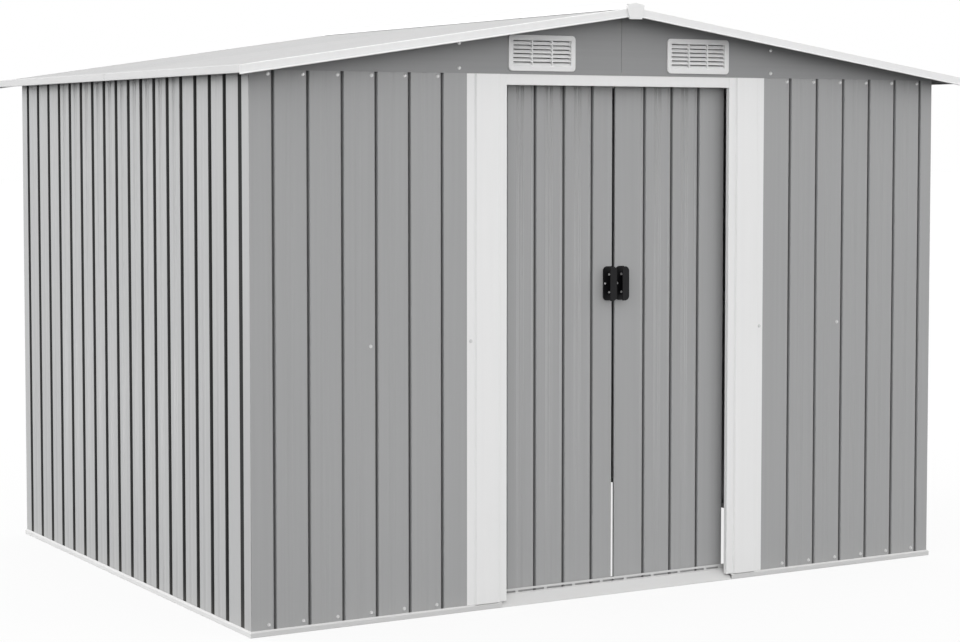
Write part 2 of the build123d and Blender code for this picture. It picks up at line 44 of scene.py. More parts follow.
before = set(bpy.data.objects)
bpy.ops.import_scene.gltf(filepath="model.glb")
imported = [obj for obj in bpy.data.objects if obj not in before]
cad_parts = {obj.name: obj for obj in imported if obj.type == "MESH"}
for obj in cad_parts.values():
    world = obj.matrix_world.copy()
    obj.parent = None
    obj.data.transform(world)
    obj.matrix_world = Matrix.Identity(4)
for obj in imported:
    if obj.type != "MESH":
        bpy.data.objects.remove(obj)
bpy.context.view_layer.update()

MM = 0.001
TOUCHING = 0.01 * MM


def both_sides(*stems):
    """Names of the left and the right node of each pair."""
    return tuple(f"{stem}_{side}" for stem in stems for side in ("left", "right"))


# Groups of nodes that share a finish
WALLS = (
    *both_sides("corner_panel_front", "corner_panel_back", "front_wall"),
    "left_wall", "right_wall", *both_sides("back_wall"),
)
BASE_RAILS = (*both_sides("base_rail"), "base_rail_back", *both_sides("base_rail_front"))
DOORWAY = (*both_sides("door_jamb"), "door_header")
GABLES = both_sides("front_gable", "back_gable")
ROOF_SHEETS = tuple(f"{slope}_{end}" for slope in both_sides("roof_sheet") for end in ("front", "back"))
VERGE_TRIMS = {"front_verge_trims": -1, "back_verge_trims": 1}
EAVE_TRIMS = both_sides("eave_trim")
INNER_FRAME = ("top_rails", "roof_beams", "wall_braces", "door_track")
DOOR_BODIES = {"left": "left_door", "right": "right_door"}

# Grooves of the side and back walls, which also place the painted shade lines along the side walls
SIDE_FIRST = 63 * MM
SIDE_PITCH = 104.35 * MM
SIDE_DEPTH = 20 * MM
GROOVE_LEAD = 1.5 * MM
GROOVE_REACH = 12.0 * MM

# Turns of the sheets, in degrees: a bead or the lead of a groove is shallow, and a fold is sharper
LEAST_TURN = 3
MOST_SHALLOW = 25
MOST_TURN = 180

# Places read from the frame
front_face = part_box("front_wall_left")[0].y
door_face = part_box("door_leaf_left")[0].y
wall_half_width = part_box("corner_panel_front_right")[1].x


def length(name, text, millimetres):
    """A size that a user may change, given in millimetres."""
    return FloatProperty(
        name=name, description=text, default=millimetres * MM, min=0.0, unit="LENGTH", precision=4,
    )


def angle(name, text, degrees):
    """An angle that a user may change, given in degrees."""
    return FloatProperty(name=name, description=text, default=math.radians(degrees), subtype="ANGLE")


def strength(name, text, default):
    """The strength of a light."""
    return FloatProperty(name=name, description=text, default=default, min=0.0)


def share(name, text, default):
    """A share, from none to the whole."""
    return FloatProperty(name=name, description=text, default=default, min=0.0, max=1.0, subtype="FACTOR")


def colour(name, text, red, green, blue):
    """A finish colour that a user may change."""
    return FloatVectorProperty(
        name=name, description=text, default=(red, green, blue), size=3, min=0.0, max=1.0, subtype="COLOR",
    )


class ShedFinishes(PropertyGroup):
    wall_grey: colour("Wall Grey", "Paint of the walls and doors", 0.35, 0.352, 0.355)
    trim_white: colour("Trim White", "Paint of the doorway, verges and ridge cap", 0.82, 0.82, 0.82)
    rail_grey: colour("Rail Grey", "Paint of the base rails and the threshold", 0.60, 0.60, 0.60)
    eave_grey: colour("Eave Grey", "Paint of the eave trims", 0.50, 0.50, 0.50)
    # The gables' grey, darker than the wall grey as painted shade where the verges overhang them
    gable_grey_painted_shade: colour("Gable Grey", "Paint of the gables", 0.28, 0.282, 0.285)
    roof_grey: colour("Roof Grey", "Paint of the roof sheets", 0.40, 0.40, 0.405)
    handle_black: colour("Handle Black", "Moulded plastic of the door handles", 0.008, 0.008, 0.009)
    wheel_white: colour("Wheel White", "Nylon of the door wheels", 0.70, 0.69, 0.65)
    dust_pale: colour("Dust", "Fine dust on ledges and low down", 0.60, 0.58, 0.54)
    screw_bright: colour("Screw Steel", "Plated steel of the screws", 0.66, 0.66, 0.66)


class ShedFolds(PropertyGroup):
    fold: length("Fold", "Set-back of a rounded fold in the sheets", 1.2)
    bead: length("Bead", "Set-back of the shallow bends of beads and groove leads", 1.6)
    frame_fold: length("Frame Fold", "Set-back of a rounded fold in rails, beams and braces", 1.6)
    seam: length("Seam", "Set-back of the folds that meet at the middle of a gable", 2.2)
    moulding: length("Moulding", "Set-back of the rounded edges of the handles", 1.1)
    drip: length("Drip Edge", "Radius of the bead under a verge", 2.2)
    cap_edge: length("Cap Edge", "Set-back of the rounded edges of the ridge end caps", 1.0)
    fold_steps: IntProperty(name="Fold Steps", description="Faces round each fold", default=3, min=1, max=8)
    bead_steps: IntProperty(name="Bead Steps", description="Faces round each bead", default=2, min=1, max=8)


class ShedScrews(PropertyGroup):
    washer_radius: length("Washer Radius", "Radius of the flange under a screw head", 5.6)
    washer_thickness: length("Washer Thickness", "Thickness of the flange", 1.1)
    head_radius: length("Head Radius", "Radius over the corners of the hexagon head", 4.2)
    head_height: length("Head Height", "Height of the hexagon head over its flange", 2.6)
    before_groove: length("Before Groove", "Distance of a screw before the middle of its groove", 20.0)
    before_groove_high: length("Before Groove High", "The same distance in the upper row", 15.0)
    left_groove: length("Left Groove", "First groove of the front, from the left corner", 74.0)
    right_groove: length("Right Groove", "Last groove of the front, from the right corner", 49.0)
    front_pitch: length("Front Pitch", "Distance between the grooves of the front", 107.0)
    front_count: IntProperty(
        name="Front Grooves", description="Grooves on each side of the doorway", default=6, min=1,
    )
    top_row: length("Top Row", "Height of the upper row of wall screws", 1563.0)
    bottom_row: length("Bottom Row", "Height of the lower row of wall screws", 31.0)
    brace_row: length("Brace Row", "Height of the screws into the wall braces", 795.0)
    jamb_edge: length("Jamb Edge", "Distance of a jamb's screw from its outer edge", 12.5)
    gable_screw: length("Gable Screws", "Distance of the gable screws from the middle", 562.5)
    gable_low: length("Gable Low", "Height of the lower gable screws", 1588.0)
    gable_high: length("Gable High", "Height of the upper gable screws", 1660.0)
    handle_screw_radius: length("Handle Screw", "Radius of a handle screw's head", 3.6)


class ShedVents(PropertyGroup):
    rim: length("Rim", "Width of the rim round the louvres", 16.0)
    corner: length("Corner", "Radius of the outer corners", 12.0)
    window_corner: length("Window Corner", "Radius of the inner corners", 2.0)
    soft_edge: length("Soft Edge", "Roundness of the rim's edges", 1.2)
    behind: length("Behind", "Depth of the rim behind the gable", 7.0)
    bar_space: length("Bar Space", "Width of the window that an upright bar takes up", 7.0)
    blade_width: length("Blade", "Width of a blade across its slope", 13.4)
    blade_thickness: length("Blade Thickness", "Thickness of a blade", 1.3)
    blade_rows: IntProperty(name="Blades", description="Blades in each vent", default=6, min=1, max=20)
    blade_tilt: angle("Blade Tilt", "Slope of the blades, down towards the outside", 45)


class ShedHangers(PropertyGroup):
    plate_width: length("Plate Width", "Width of a hanger plate", 50.0)
    plate_thickness: length("Plate Thickness", "Thickness of a hanger plate", 2.0)
    plate_corner: length("Plate Corner", "Radius of a hanger plate's corners", 4.0)
    inset: length("Inset", "Middle of a hanger, from the end of its leaf", 60.0)
    wheel_radius: length("Wheel Radius", "Radius of a door wheel", 15.0)
    wheel_width: length("Wheel Width", "Width of a door wheel", 8.0)
    groove_depth: length("Groove Depth", "Depth of the groove round a wheel", 1.6)
    axle_radius: length("Axle Radius", "Radius of a wheel's axle", 3.0)


class ShedStage(PropertyGroup):
    sun_strength: strength("Key Light", "Strength of the key light", 1.25)
    sun_spread: angle("Key Spread", "Angle that the key light covers", 25)
    sun_from: FloatVectorProperty(
        name="Key From", description="Direction that the key light comes from",
        default=(-0.69, 0.69, 0.18), subtype="DIRECTION",
    )
    sky_low: strength("Low Sky", "Strength of the light near the horizon", 2.1)
    sky_high: strength("High Sky", "Strength of the light overhead", 1.0)
    floor_reach: FloatProperty(
        name="Floor Reach", description="Half the side of the floor", default=60.0, unit="LENGTH",
    )
    floor_white: share("Floor White", "Share of plain white in the floor that the camera sees", 0.88)
    floor_pale: share("Floor Pale", "Paint of the floor as it is seen", 0.74)
    floor_bounce: share("Floor Bounce", "Share of the light that the floor sends back up", 0.14)
    camera_from: FloatVectorProperty(
        name="Camera", description="Place of the camera", default=(-3.768, -6.563, 1.389),
        subtype="TRANSLATION",
    )
    camera_turn: angle("Camera Turn", "Turn of the view from straight at the front", 30.25)
    camera_dip: angle("Camera Dip", "Dip of the view below level", 3.24)
    camera_lens: FloatProperty(name="Lens", description="Focal length in millimetres", default=83.76, min=1.0)
    camera_shift: FloatProperty(name="Shift", description="Vertical shift of the lens", default=-0.06)


# Nodes, and sums made with them
class Value:
    """An output in a node tree, whose sums and products are Math nodes."""

    def __init__(self, tree, socket):
        self.tree = tree
        self.socket = socket

    def __add__(self, other):
        return calculate(self.tree, "ADD", self, other)

    def __sub__(self, other):
        return calculate(self.tree, "SUBTRACT", self, other)

    def __rsub__(self, other):
        return calculate(self.tree, "SUBTRACT", other, self)

    def __mul__(self, other):
        return calculate(self.tree, "MULTIPLY", self, other)

    def __truediv__(self, other):
        return calculate(self.tree, "DIVIDE", self, other)

    def __abs__(self):
        return calculate(self.tree, "ABSOLUTE", self)


def connect(tree, node, inputs):
    """Puts plain values or other nodes' outputs on a node's inputs."""
    for name, value in inputs.items():
        if isinstance(value, Value):
            tree.links.new(value.socket, node.inputs[name])
        else:
            node.inputs[name].default_value = value


def add_node(tree, kind, inputs=None, **settings):
    """One node with its settings and its inputs."""
    node = tree.nodes.new(kind)
    for name, value in settings.items():
        setattr(node, name, value)
    connect(tree, node, inputs or {})
    return node


def outputs_of(tree, node):
    """All outputs of a node, by name."""
    return {socket.name: Value(tree, socket) for socket in node.outputs}


def read(tree, kind, output, inputs=None, **settings):
    """One output of a new node."""
    return Value(tree, add_node(tree, kind, inputs, **settings).outputs[output])


def calculate(tree, operation, first, second=0.0, clamp=False):
    """Output of a Math node."""
    return read(tree, "ShaderNodeMath", 0, {0: first, 1: second}, operation=operation, use_clamp=clamp)


def object_place(tree):
    """Place of a point on a piece, in the shed's own frame."""
    return read(tree, "ShaderNodeTexCoord", "Object")


def component(tree, vector, axis):
    """One of the three numbers of a vector."""
    return read(tree, "ShaderNodeSeparateXYZ", axis, {0: vector})


def noise(tree, place, scale, detail):
    """Soft noise from 0 to 1."""
    return read(tree, "ShaderNodeTexNoise", "Fac", {"Vector": place, "Scale": scale, "Detail": detail})


def brightened(tree, tone, factor):
    """A colour made brighter or darker."""
    return read(tree, "ShaderNodeHueSaturation", "Color", {"Color": tone, "Value": factor})


# Shader node groups that the materials share
FLOAT = "NodeSocketFloat"
COLOUR = "NodeSocketColor"
VECTOR = "NodeSocketVector"
MIDDLE_GREY = (0.5, 0.5, 0.5, 1)
WHITE = (1, 1, 1, 1)


def shader_group(name, inputs, outputs):
    """A node group with named sockets, and the values that come in by them."""
    group = bpy.data.node_groups.new(name, "ShaderNodeTree")
    for socket, kind, value in inputs:
        made = group.interface.new_socket(name=socket, in_out="INPUT", socket_type=kind)
        made.default_value = value
    for socket, kind in outputs:
        group.interface.new_socket(name=socket, in_out="OUTPUT", socket_type=kind)
    return group, outputs_of(group, group.nodes.new("NodeGroupInput"))


def put_out(group, results):
    """Sends a group's results out of it."""
    add_node(group, "NodeGroupOutput", results)
    return group


def rolled_sheet_group():
    """Fine streaks along a sheet's rolling direction, and broad soft patches."""
    group, given = shader_group(
        "Rolled Sheet",
        [("Color", COLOUR, MIDDLE_GREY), ("Run", VECTOR, (90, 90, 1.5)), ("Streaks", FLOAT, 0.04),
         ("Patches", FLOAT, 0.03)],
        [("Color", COLOUR)],
    )
    place = object_place(group)
    stretched = read(group, "ShaderNodeVectorMath", 0, {0: place, 1: given["Run"]}, operation="MULTIPLY")
    streak = noise(group, stretched, scale=1.0, detail=3.0)
    patch = noise(group, place, scale=1.7, detail=2.0)
    spread = ((streak - 0.5) * given["Streaks"] + (patch - 0.5) * given["Patches"]) * 2.0
    return put_out(group, {"Color": brightened(group, given["Color"], spread + 1.0)})


def paint_film_group():
    """The small dimples of a sprayed coat, as a height, and a roughness that drifts a little."""
    group, given = shader_group(
        "Paint Film",
        [("Roughness", FLOAT, 0.5), ("Drift", FLOAT, 0.06), ("Dimples", FLOAT, 420.0)],
        [("Roughness", FLOAT), ("Height", FLOAT)],
    )
    place = object_place(group)
    dimple = noise(group, place, scale=given["Dimples"], detail=1.5)
    drift = (noise(group, place, scale=6.0, detail=3.0) - 0.5) * given["Drift"]
    roughness = calculate(group, "ADD", given["Roughness"], drift, clamp=True)
    return put_out(group, {"Roughness": roughness, "Height": dimple})


def groove_shade_group():
    """Painted shade in pressed grooves: darkens them by their depth behind the flats and, on the side walls,
    along lines at their places.
    """
    group, given = shader_group(
        "Groove Shade",
        [("Color", COLOUR, MIDDLE_GREY), ("Half Width", FLOAT, 1.227), ("Half Depth", FLOAT, 0.947),
         ("Shade", FLOAT, 0.5), ("Side First", FLOAT, 0.054), ("Side Pitch", FLOAT, 0.1),
         ("Side Shade", FLOAT, 0.9)],
        [("Color", COLOUR), ("Mask", FLOAT)],
    )
    shade_begins = 2 * MM
    shade_full = 11 * MM
    least_outwards = 0.05
    place = object_place(group)
    across = component(group, place, "X")
    along = component(group, place, "Y")
    from_side = given["Half Width"] - abs(across)
    from_front = given["Half Depth"] - abs(along)
    depth = calculate(group, "MINIMUM", from_side, from_front)
    # Painted shade that deepens with the depth behind the flats
    mask = read(
        group, "ShaderNodeMapRange", "Result",
        {"Value": depth, "From Min": shade_begins, "From Max": shade_full}, interpolation_type="SMOOTHSTEP",
    )
    way = calculate(group, "SIGN", across)
    past_first = given["Half Depth"] + way * along - given["Side First"]
    number = calculate(group, "ROUND", past_first / given["Side Pitch"])
    from_middle = abs(past_first - number * given["Side Pitch"] + GROOVE_LEAD)
    # Painted shade lines along the side walls' grooves, on outward faces only
    line = read(
        group, "ShaderNodeMapRange", "Result",
        {"Value": from_middle, "From Min": GROOVE_REACH + MM, "From Max": GROOVE_REACH - MM},
    )
    near = calculate(group, "LESS_THAN", from_side, SIDE_DEPTH)
    normal = read(group, "ShaderNodeNewGeometry", "True Normal")
    outside = calculate(group, "GREATER_THAN", component(group, normal, "X") * way, least_outwards)
    side_shade_lines = line * (near * outside)
    # How far the painted shade darkens the colour; the mask also goes out to raise the roughness
    dark = calculate(group, "MAXIMUM", mask * given["Shade"], side_shade_lines * given["Side Shade"])
    shaded = brightened(group, given["Color"], 1.0 - dark)
    return put_out(group, {"Color": shaded, "Mask": calculate(group, "MAXIMUM", mask, side_shade_lines)})


def settled_dust_group():
    """Thin dust on faces that look up, and a little close to the ground."""
    group, given = shader_group(
        "Settled Dust",
        [("Color", COLOUR, MIDDLE_GREY), ("Dust", COLOUR, (0.6, 0.6, 0.55, 1)), ("Ledges", FLOAT, 0.2),
         ("Low Down", FLOAT, 0.15), ("Reach", FLOAT, 0.12)],
        [("Color", COLOUR)],
    )
    ledge_focus = 3.0
    low_focus = 2.0
    cloud_gain = 1.6
    place = object_place(group)
    upward = component(group, read(group, "ShaderNodeNewGeometry", "Normal"), "Z")
    cloud = noise(group, place, scale=9.0, detail=6.0)
    ledge = calculate(group, "POWER", calculate(group, "MAXIMUM", upward, 0.0), ledge_focus)
    low = calculate(group, "SUBTRACT", 1.0, component(group, place, "Z") / given["Reach"], clamp=True)
    both = ledge * given["Ledges"] + calculate(group, "POWER", low, low_focus) * given["Low Down"]
    mask = calculate(group, "MULTIPLY", both, cloud * cloud_gain, clamp=True)
    tones = {"Fac": mask, "Color1": given["Color"], "Color2": given["Dust"]}
    return put_out(group, {"Color": read(group, "ShaderNodeMixRGB", "Color", tones)})


GROUP_MAKERS = {
    "Rolled Sheet": rolled_sheet_group,
    "Paint Film": paint_film_group,
    "Groove Shade": groove_shade_group,
    "Settled Dust": settled_dust_group,
}


def use_group(tree, name, inputs):
    """The outputs of a shared node group placed in a material, built the first time it is asked for."""
    group = bpy.data.node_groups.get(name) or GROUP_MAKERS[name]()
    return outputs_of(tree, add_node(tree, "ShaderNodeGroup", inputs, node_tree=group))


# Materials
def finish_colour(name):
    """One of the finish colours, with full alpha."""
    return (*getattr(bpy.context.scene.shed_finishes, name), 1.0)


def new_material(name, roughness, metallic=0.0, specular=0.5):
    """A material with its shader's plain values set."""
    material = bpy.data.materials.new(name)
    material.use_nodes = True
    tree = material.node_tree
    shader = tree.nodes["Principled BSDF"]
    plain = {"Roughness": roughness, "Metallic": metallic, "Specular IOR Level": specular}
    connect(tree, shader, plain)
    return material, tree, shader


def bump(tree, shader, height, depth, distance):
    """Feeds a height to a shader's normal."""
    inputs = {"Height": height, "Strength": depth, "Distance": distance}
    connect(tree, shader, {"Normal": read(tree, "ShaderNodeBump", "Normal", inputs)})


def dusted(tree, tone, ledges, low_down):
    """A colour with thin dust over it."""
    dust = {"Color": tone, "Dust": finish_colour("dust_pale"), "Ledges": ledges, "Low Down": low_down}
    return use_group(tree, "Settled Dust", dust)["Color"]


def painted_sheet(name, base, run, roughness, streaks, planes=None, ledges=0.10, low_down=0.10):
    """Sprayed paint on rolled steel sheet, with painted shade in the grooves where the planes of the flats are
    given.
    """
    material, tree, shader = new_material(name, roughness)
    rolled = {"Color": finish_colour(base), "Run": run, "Streaks": streaks, "Patches": 0.03}
    tone = use_group(tree, "Rolled Sheet", rolled)["Color"]
    rough = roughness
    if planes:
        # Painted shade in the grooves, whose mask also makes them rougher
        grooves = {
            "Color": tone, "Half Width": planes[0], "Half Depth": planes[1], "Shade": 0.55,
            "Side First": SIDE_FIRST, "Side Pitch": SIDE_PITCH, "Side Shade": 0.97,
        }
        shaded = use_group(tree, "Groove Shade", grooves)
        tone = shaded["Color"]
        rough = calculate(tree, "ADD", roughness, shaded["Mask"], clamp=True)
    tone = dusted(tree, tone, ledges, low_down)
    film = use_group(tree, "Paint Film", {"Roughness": rough, "Drift": 0.08, "Dimples": 420.0})
    connect(tree, shader, {"Base Color": tone, "Roughness": film["Roughness"]})
    bump(tree, shader, film["Height"], depth=0.12, distance=0.2 * MM)
    return material


def grooved_paint(name, planes):
    """Grey paint of upright grooved sheets, with painted shade in their grooves."""
    return painted_sheet(name, "wall_grey", run=(110, 110, 1.2), roughness=0.46, streaks=0.05, planes=planes)


def wall_paint(name):
    """Paint of the walls, with painted shade in the grooves."""
    return grooved_paint(name, (wall_half_width, -front_face))


def door_paint(name):
    """Paint of the doors, whose side planes are far out because they have no side walls, so their painted
    shade comes from depth alone.
    """
    far_out = 10.0
    return grooved_paint(name, (far_out, -door_face))


def gable_paint(name):
    """Grey paint of the plain gable sheets, made darker than the walls' grey as painted shade under the
    verges.
    """
    return painted_sheet(name, "gable_grey_painted_shade", run=(1.2, 110, 110), roughness=0.46, streaks=0.05)


def trim_paint(name):
    """White paint of the trims."""
    return painted_sheet(name, "trim_white", run=(60, 60, 2.0), roughness=0.40, streaks=0.02, ledges=0.06)


def rail_paint(name):
    """Pale paint of the rails along the ground."""
    dust = {"ledges": 0.06, "low_down": 0.08}
    return painted_sheet(name, "rail_grey", run=(2.0, 2.0, 60), roughness=0.42, streaks=0.03, **dust)


def eave_paint(name):
    """Pale paint of the trims along the eaves."""
    dust = {"ledges": 0.06, "low_down": 0.0}
    return painted_sheet(name, "eave_grey", run=(60, 2.0, 60), roughness=0.42, streaks=0.03, **dust)


def roof_paint(name):
    """Light paint of the roof sheets, rolled from ridge to eave."""
    return painted_sheet(name, "roof_grey", run=(1.2, 110, 110), roughness=0.42, streaks=0.05, low_down=0)


def moulded_plastic(name, base, roughness, dimples, depth, specular=0.5):
    """Plastic with the fine texture of its mould."""
    material, tree, shader = new_material(name, roughness, specular=specular)
    rolled = {"Color": finish_colour(base), "Run": (40, 40, 40), "Streaks": 0.03, "Patches": 0.02}
    tone = dusted(tree, use_group(tree, "Rolled Sheet", rolled)["Color"], ledges=0.03, low_down=0.0)
    film = use_group(tree, "Paint Film", {"Roughness": roughness, "Drift": 0.1, "Dimples": dimples})
    connect(tree, shader, {"Base Color": tone, "Roughness": film["Roughness"]})
    bump(tree, shader, film["Height"], depth, distance=0.15 * MM)
    return material


def handle_plastic(name):
    """Black plastic of the handles, with a sparked texture."""
    texture = {"dimples": 1500.0, "depth": 0.4}
    return moulded_plastic(name, "handle_black", roughness=0.42, specular=0.2, **texture)


def wheel_nylon(name):
    """Off-white nylon of the door wheels."""
    return moulded_plastic(name, "wheel_white", roughness=0.35, dimples=500.0, depth=0.1)


def screw_steel(name):
    """Bright plated steel."""
    material, tree, shader = new_material(name, roughness=0.30, metallic=0.9)
    rolled = {
        "Color": finish_colour("screw_bright"), "Run": (300, 300, 300), "Streaks": 0.06, "Patches": 0.0,
    }
    tone = use_group(tree, "Rolled Sheet", rolled)["Color"]
    film = use_group(tree, "Paint Film", {"Roughness": 0.3, "Drift": 0.2})
    connect(tree, shader, {"Base Color": tone, "Roughness": film["Roughness"]})
    return material


FINISH_MAKERS = {
    maker.__name__: maker for maker in (
        wall_paint, door_paint, gable_paint, trim_paint, rail_paint, eave_paint, roof_paint, handle_plastic,
        wheel_nylon, screw_steel,
    )
}


def finish(name):
    """One of the shed's materials. The frame brings bare_zinc and vent_plastic, and the rest are made here."""
    return bpy.data.materials.get(name) or FINISH_MAKERS[name](name)


# Making pieces
def finished_mesh(name, bm):
    """A bmesh made a mesh, and freed."""
    mesh = bpy.data.meshes.new(name)
    bm.to_mesh(mesh)
    bm.free()
    return mesh


def add_piece(name, bm, materials, body="shed", replaces=()):
    """Turns a finished bmesh into a piece that rides on a body."""
    mesh = finished_mesh(name, bm)
    for material in materials:
        mesh.materials.append(finish(material))
    piece = bpy.data.objects.new(name, mesh)
    bpy.context.scene.collection.objects.link(piece)
    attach(piece, body)
    if replaces:
        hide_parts(*replaces)


def merged_copy(node):
    """A node's mesh with its loose triangles joined and its flat faces made whole."""
    bm = bmesh.new()
    bm.from_mesh(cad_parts[node].data)
    flat = math.radians(0.6)
    bmesh.ops.remove_doubles(bm, verts=bm.verts, dist=TOUCHING)
    bmesh.ops.dissolve_limit(bm, angle_limit=flat, verts=bm.verts, edges=bm.edges)
    return bm


def folds_between(bm, shortest, thickest, least, most):
    """Folds in the sheet, not edges of its rim, whose turn lies between two angles in degrees."""
    folds = []
    for edge in bm.edges:
        run = edge.calc_length()
        if not edge.is_manifold or run < shortest:
            continue
        widths = [face.calc_area() / run for face in edge.link_faces]
        if min(widths) > thickest and least < math.degrees(edge.calc_face_angle()) <= most:
            folds.append(edge)
    return folds


def round_edges(bm, edges, radius, steps):
    """Rounds edges and shades the new faces smooth, or cuts a flat chamfer in one step."""
    made = bmesh.ops.bevel(
        bm, geom=edges, offset=radius, offset_type="OFFSET", segments=steps, profile=0.5,
        affect="EDGES", clamp_overlap=True, material=-1,
    )
    for face in made["faces"]:
        face.smooth = steps > 1


def dress_sheet(node, radius, material, body="shed", shortest=0.15, thickest=1.8 * MM):
    """Replaces one folded node with a copy whose beads and folds are rounded."""
    sizes = bpy.context.scene.shed_folds
    bm = merged_copy(node)
    beads = folds_between(bm, shortest, thickest, LEAST_TURN, MOST_SHALLOW)
    round_edges(bm, beads, sizes.bead, sizes.bead_steps)
    folds = folds_between(bm, shortest, thickest, MOST_SHALLOW, MOST_TURN)
    round_edges(bm, folds, radius, sizes.fold_steps)
    add_piece(f"{node}_finished", bm, [material], body, [node])


def dress_moulding(node, radius, material, body="shed", least=35.0):
    """Replaces one solid node with a copy that has all its sharp edges rounded."""
    small_area = 30 * MM * MM
    bm = merged_copy(node)
    sharp = [edge for edge in bm.edges if edge.is_manifold and edge.calc_face_angle() > math.radians(least)]
    for face in bm.faces:
        face.smooth = face.calc_area() < small_area
    round_edges(bm, sharp, radius, steps=3)
    add_piece(f"{node}_finished", bm, [material], body, [node])


def facing(direction, place, turn=0.0):
    """Matrix that puts a shape made facing +Z at a place, facing a direction."""
    turned = Vector(direction).to_track_quat("Z", "Y").to_matrix().to_4x4()
    return Matrix.Translation(place) @ turned @ Matrix.Rotation(turn, 4, "Z")


def added(elements, before):
    """The points, edges or faces that a bmesh has gained since it had so many."""
    elements.ensure_lookup_table()
    return elements[before:]


def repeat(bm, shape, matrices):
    """Adds copies of a mesh to a bmesh."""
    for matrix in matrices:
        before = len(bm.verts)
        bm.from_mesh(shape)
        bmesh.ops.transform(bm, matrix=matrix, verts=added(bm.verts, before))


def cylinder(bm, radius, depth, matrix, sides, taper=1.0):
    """A capped cylinder about a middle, whose top may be narrower."""
    bmesh.ops.create_cone(
        bm, cap_ends=True, segments=sides, radius1=radius, radius2=taper * radius, depth=depth, matrix=matrix,
    )


def hexagon_screw():
    """Mesh of a flanged hexagon screw head that sits on the origin and faces +Z."""
    sizes = bpy.context.scene.shed_screws
    flange = sizes.washer_thickness
    top = flange + sizes.head_height
    head_middle = Matrix.Translation((0, 0, flange + sizes.head_height / 2))
    bm = bmesh.new()
    flange_middle = Matrix.Translation((0, 0, flange / 2))
    cylinder(bm, sizes.washer_radius, flange, flange_middle, sides=18, taper=0.82)
    cylinder(bm, sizes.head_radius, sizes.head_height, head_middle, sides=6)
    crown = [edge for edge in bm.edges if all(abs(vert.co.z - top) < TOUCHING for vert in edge.verts)]
    round_edges(bm, crown, 0.5 * MM, steps=1)
    return finished_mesh("hexagon_screw", bm)


def socket_screw():
    """Mesh of a low round screw head with a hollow in its top, facing +Z."""
    radius = bpy.context.scene.shed_screws.handle_screw_radius
    height = 0.55 * radius
    wall = 0.25 * radius
    hollow = 0.5 * height
    bm = bmesh.new()
    cylinder(bm, radius, height, Matrix.Translation((0, 0, height / 2)), sides=24, taper=0.9)
    top = max(bm.faces, key=lambda face: face.calc_center_median().z)
    round_edges(bm, list(top.edges), 0.3 * radius, steps=3)
    top = max(bm.faces, key=lambda face: face.calc_center_median().z)
    bmesh.ops.inset_region(bm, faces=[top], thickness=wall)
    bmesh.ops.translate(bm, vec=(0, 0, -hollow), verts=top.verts)
    return finished_mesh("socket_screw", bm)


def screw_piece(name, places, shape, body="shed"):
    """One piece with a screw at each place, given as a point and the way it faces."""
    golden_turn = 2.4
    matrices = [facing(way, point, number * golden_turn) for number, (point, way) in enumerate(places)]
    bm = bmesh.new()
    repeat(bm, shape, matrices)
    add_piece(name, bm, ["screw_steel"], body)


# Operators, one for each piece or group of like pieces
class SHED_OT_walls(Operator):
    """Fold the grooved wall sheets with rounded bends"""

    bl_idname = "shed.walls"
    bl_label = "Wall Sheets"

    def execute(self, context):
        for node in WALLS:
            dress_sheet(node, context.scene.shed_folds.fold, "wall_paint")
        return {"FINISHED"}


class SHED_OT_base(Operator):
    """Fold the base rails and the threshold"""

    bl_idname = "shed.base"
    bl_label = "Base Rails and Threshold"

    def execute(self, context):
        for node in (*BASE_RAILS, "door_threshold"):
            dress_sheet(node, context.scene.shed_folds.fold, "rail_paint")
        return {"FINISHED"}


class SHED_OT_doorway(Operator):
    """Fold the jambs and the header of the doorway"""

    bl_idname = "shed.doorway"
    bl_label = "Doorway"

    def execute(self, context):
        for node in DOORWAY:
            dress_sheet(node, context.scene.shed_folds.fold, "trim_paint")
        return {"FINISHED"}


class SHED_OT_doors(Operator):
    """Fold the two sliding door leaves"""

    bl_idname = "shed.doors"
    bl_label = "Door Leaves"

    def execute(self, context):
        for side, body in DOOR_BODIES.items():
            dress_sheet(f"door_leaf_{side}", context.scene.shed_folds.fold, "door_paint", body)
        return {"FINISHED"}


